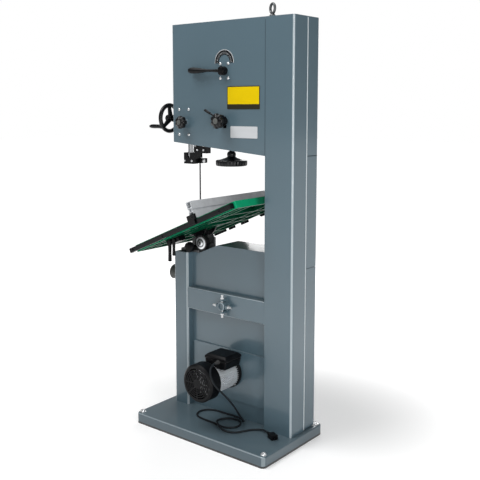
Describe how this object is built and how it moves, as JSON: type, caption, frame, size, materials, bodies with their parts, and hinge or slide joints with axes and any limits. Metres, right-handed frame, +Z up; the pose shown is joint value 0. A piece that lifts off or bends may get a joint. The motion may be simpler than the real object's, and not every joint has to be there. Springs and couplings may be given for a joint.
{
  "type": "band saw",
  "caption": "Floor-standing band saw with two enclosed wheels, a tilting table with fence, a rack-driven blade guide and a belt-driven motor, seen with its table tilted.",
  "frame": {"origin": "centre of the four anchor holes, on the floor", "axes": "+Z up, +X from the column to the open throat side, -Y towards the operator and the doors"},
  "size_m": [0.9443, 0.8123, 2.063],
  "materials": {
    "grey_paint": "semi-gloss blue-grey paint",
    "plate_yellow": "enamelled yellow and white plates",
    "steel": "turned and ground steel",
    "zinc": "bright zinc plate",
    "blade_steel": "dark rolled band steel",
    "black_iron": "black enamelled iron",
    "cast_wheel": "grey cast iron with rubber tyre",
    "table_iron": "ground top, green painted underside",
    "silver_alloy": "satin aluminium",
    "rail_black": "black powder coat",
    "black_plastic": "matt black",
    "grey_plastic": "matt grey",
    "black_rubber": "matt",
    "cord_grey": "satin grey jacket"
  },
  "bodies": {
    "frame": {"base_plate": "grey_paint", "frame_bolts": "steel", "column": "grey_paint", "upper_housing": "grey_paint", "lower_housing": "grey_paint", "cross_rib": "grey_paint", "column_cover": "grey_paint", "eye_bolt": "zinc", "panel_screws": "zinc", "rear_plates": "plate_yellow", "carriage_rails": "steel", "post_guide": "black_iron", "door_fittings": "grey_paint", "lower_shaft_mount": "grey_paint", "saw_blade": "blade_steel", "drive_belt": "black_rubber", "motor_plate": "grey_paint", "motor_body": "silver_alloy", "fan_cover": "black_plastic", "terminal_box": "black_plastic", "dust_port": "grey_plastic", "trunnion_bracket": "cast_wheel", "lower_guides": "steel", "cord_gland": "black_plastic", "power_cord": "cord_grey", "plug": "black_plastic", "tension_spring": "steel"},
    "upper_door_body": {"upper_door": "grey_paint"},
    "upper_latch_body": {"upper_latch": "black_plastic"},
    "lower_door_body": {"lower_door": "grey_paint"},
    "lower_latch_body": {"lower_latch": "black_plastic"},
    "tension_wheel_body": {"tension_handwheel": "black_iron"},
    "carriage_body": {"wheel_carriage": "black_iron"},
    "shaft_body": {"upper_shaft": "steel"},
    "upper_wheel_body": {"upper_wheel": "cast_wheel"},
    "lower_wheel_body": {"lower_wheel": "cast_wheel"},
    "rotor_body": {"motor_rotor": "steel"},
    "tension_lever_body": {"tension_lever": "black_plastic"},
    "tracking_knob_body": {"tracking_knob": "black_plastic"},
    "tracking_lock_body": {"tracking_lock": "black_plastic"},
    "guide_body": {"guide_post": "steel", "upper_guide_body": "black_iron", "upper_guides": "steel", "blade_guard": "black_iron"},
    "guide_wheel_body": {"guide_handwheel": "black_plastic"},
    "crank_body": {"crank_handle": "black_plastic"},
    "guide_lock_body": {"guide_lock_knob": "black_plastic"},
    "table_body": {"table": "table_iron", "table_insert": "silver_alloy", "table_trunnions": "black_iron", "lock_mount": "silver_alloy", "rails": "rail_black", "rail_ends": "black_plastic"},
    "long_lever_body": {"long_lever": "black_plastic"},
    "short_lever_body": {"short_lever": "black_plastic"},
    "fence_body": {"fence": "silver_alloy", "fence_brackets": "black_iron"},
    "fence_lever_body": {"fence_lever": "black_plastic"},
    "tilt_wheel_body": {"tilt_handwheel": "black_plastic"},
    "tilt_lock_body": {"tilt_lock_knob": "black_plastic"}
  },
  "joints": [
    {"name": "upper_door_hinge", "type": "hinge", "parent": "frame", "child": "upper_door_body", "pos_m": [0.367, -0.111, 1.69], "axis": [0, 0, -1], "range_deg": [-90, 0]},
    {"name": "upper_latch_turn", "type": "hinge", "parent": "upper_door_body", "child": "upper_latch_body", "pos_m": [-0.334, -0.2, 1.69], "axis": [0, 1, 0], "range_deg": [-90, 0]},
    {"name": "lower_door_hinge", "type": "hinge", "parent": "frame", "child": "lower_door_body", "pos_m": [0.367, -0.111, 0.45], "axis": [0, 0, -1], "range_deg": [-90, 0]},
    {"name": "lower_latch_turn", "type": "hinge", "parent": "lower_door_body", "child": "lower_latch_body", "pos_m": [-0.334, -0.2, 0.45], "axis": [0, 1, 0], "range_deg": [-90, 0]},
    {"name": "tension_wheel_turn", "type": "hinge", "parent": "frame", "child": "tension_wheel_body", "pos_m": [0.016, -0.053, 1.35], "axis": [0, 0, 1], "range_deg": [0, 2640]},
    {"name": "carriage_slide", "type": "slide", "parent": "frame", "child": "carriage_body", "axis": [0, 0, 1], "range_m": [-0.022, 0], "deforming": ["tension_spring"]},
    {"name": "shaft_tilt", "type": "hinge", "parent": "carriage_body", "child": "shaft_body", "pos_m": [0.016, -0.055, 1.722], "axis": [1, 0, 0], "range_deg": [0, 0.8]},
    {"name": "upper_wheel_spin", "type": "hinge", "parent": "shaft_body", "child": "upper_wheel_body", "pos_m": [0.016, -0.1085, 1.722], "axis": [0, 1, 0], "continuous": true},
    {"name": "lower_wheel_spin", "type": "hinge", "parent": "frame", "child": "lower_wheel_body", "pos_m": [0.016, -0.1085, 0.626], "axis": [0, 1, 0], "continuous": true},
    {"name": "motor_spin", "type": "hinge", "parent": "frame", "child": "rotor_body", "pos_m": [0.016, 0, 0.285], "axis": [0, 1, 0], "continuous": true},
    {"name": "tension_lever_turn", "type": "hinge", "parent": "frame", "child": "tension_lever_body", "pos_m": [0.016, 0, 1.765], "axis": [0, -1, 0], "range_deg": [0, 175]},
    {"name": "tracking_turn", "type": "hinge", "parent": "carriage_body", "child": "tracking_knob_body", "pos_m": [0.016, 0.04, 1.529], "axis": [0, 1, 0], "range_deg": [0, 720]},
    {"name": "tracking_lock_turn", "type": "hinge", "parent": "carriage_body", "child": "tracking_lock_body", "pos_m": [0.016, 0.02, 1.529], "axis": [0, 1, 0], "range_deg": [-45, 45]},
    {"name": "guide_post_slide", "type": "slide", "parent": "frame", "child": "guide_body", "axis": [0, 0, 1], "range_m": [-0.25, 0]},
    {"name": "guide_wheel_turn", "type": "hinge", "parent": "frame", "child": "guide_wheel_body", "pos_m": [0.414, -0.037, 1.539], "axis": [1, 0, 0], "range_deg": [0, 1440]},
    {"name": "crank_spin", "type": "hinge", "parent": "guide_wheel_body", "child": "crank_body", "pos_m": [0.46, 0.014, 1.4971], "axis": [1, 0, 0], "continuous": true},
    {"name": "guide_lock_turn", "type": "hinge", "parent": "frame", "child": "guide_lock_body", "pos_m": [0.272, 0.03, 1.52], "axis": [0, 1, 0], "range_deg": [-180, 0]},
    {"name": "table_tilt", "type": "hinge", "parent": "frame", "child": "table_body", "pos_m": [0.26975, 0, 0.992], "axis": [0, 1, 0], "range_deg": [-28.2, 21.8]},
    {"name": "tilt_wheel_turn", "type": "hinge", "parent": "frame", "child": "tilt_wheel_body", "pos_m": [0.19993, -0.044, 0.91224], "axis": [0, 1, 0], "range_deg": [-171, 221]},
    {"name": "tilt_lock_turn", "type": "hinge", "parent": "frame", "child": "tilt_lock_body", "pos_m": [0.26175, 0, 0.887], "axis": [0, 1, 0], "range_deg": [-180, 0]},
    {"name": "long_lever_turn", "type": "hinge", "parent": "table_body", "child": "long_lever_body", "pos_m": [0.32201, 0.06, 0.91847], "axis": [0, 1, 0], "range_deg": [-50, 0]},
    {"name": "short_lever_turn", "type": "hinge", "parent": "table_body", "child": "short_lever_body", "pos_m": [0.29509, 0.06, 0.92674], "axis": [0, 1, 0], "range_deg": [0, 70]},
    {"name": "fence_slide", "type": "slide", "parent": "table_body", "child": "fence_body", "axis": [0.9191, 0, -0.3939], "range_m": [-0.195, 0.08]},
    {"name": "fence_lever_turn", "type": "hinge", "parent": "fence_body", "child": "fence_lever_body", "pos_m": [0.0892, -0.4543, 1.04545], "axis": [0.9191, 0, -0.3939], "range_deg": [-50, 0]}
  ],
  "couplings": [
    {"joint": "carriage_slide", "follows": "tension_wheel_turn", "m_per_rad": -0.00047746},
    {"joint": "shaft_tilt", "follows": "tracking_turn", "ratio": 0.0011111},
    {"joint": "guide_wheel_turn", "follows": "guide_post_slide", "rad_per_m": -100},
    {"joint": "tilt_wheel_turn", "follows": "table_tilt", "ratio": -7.8333},
    {"joint": "upper_wheel_spin", "follows": "lower_wheel_spin", "ratio": 1},
    {"joint": "motor_spin", "follows": "lower_wheel_spin", "ratio": 2.5714}
  ]
}
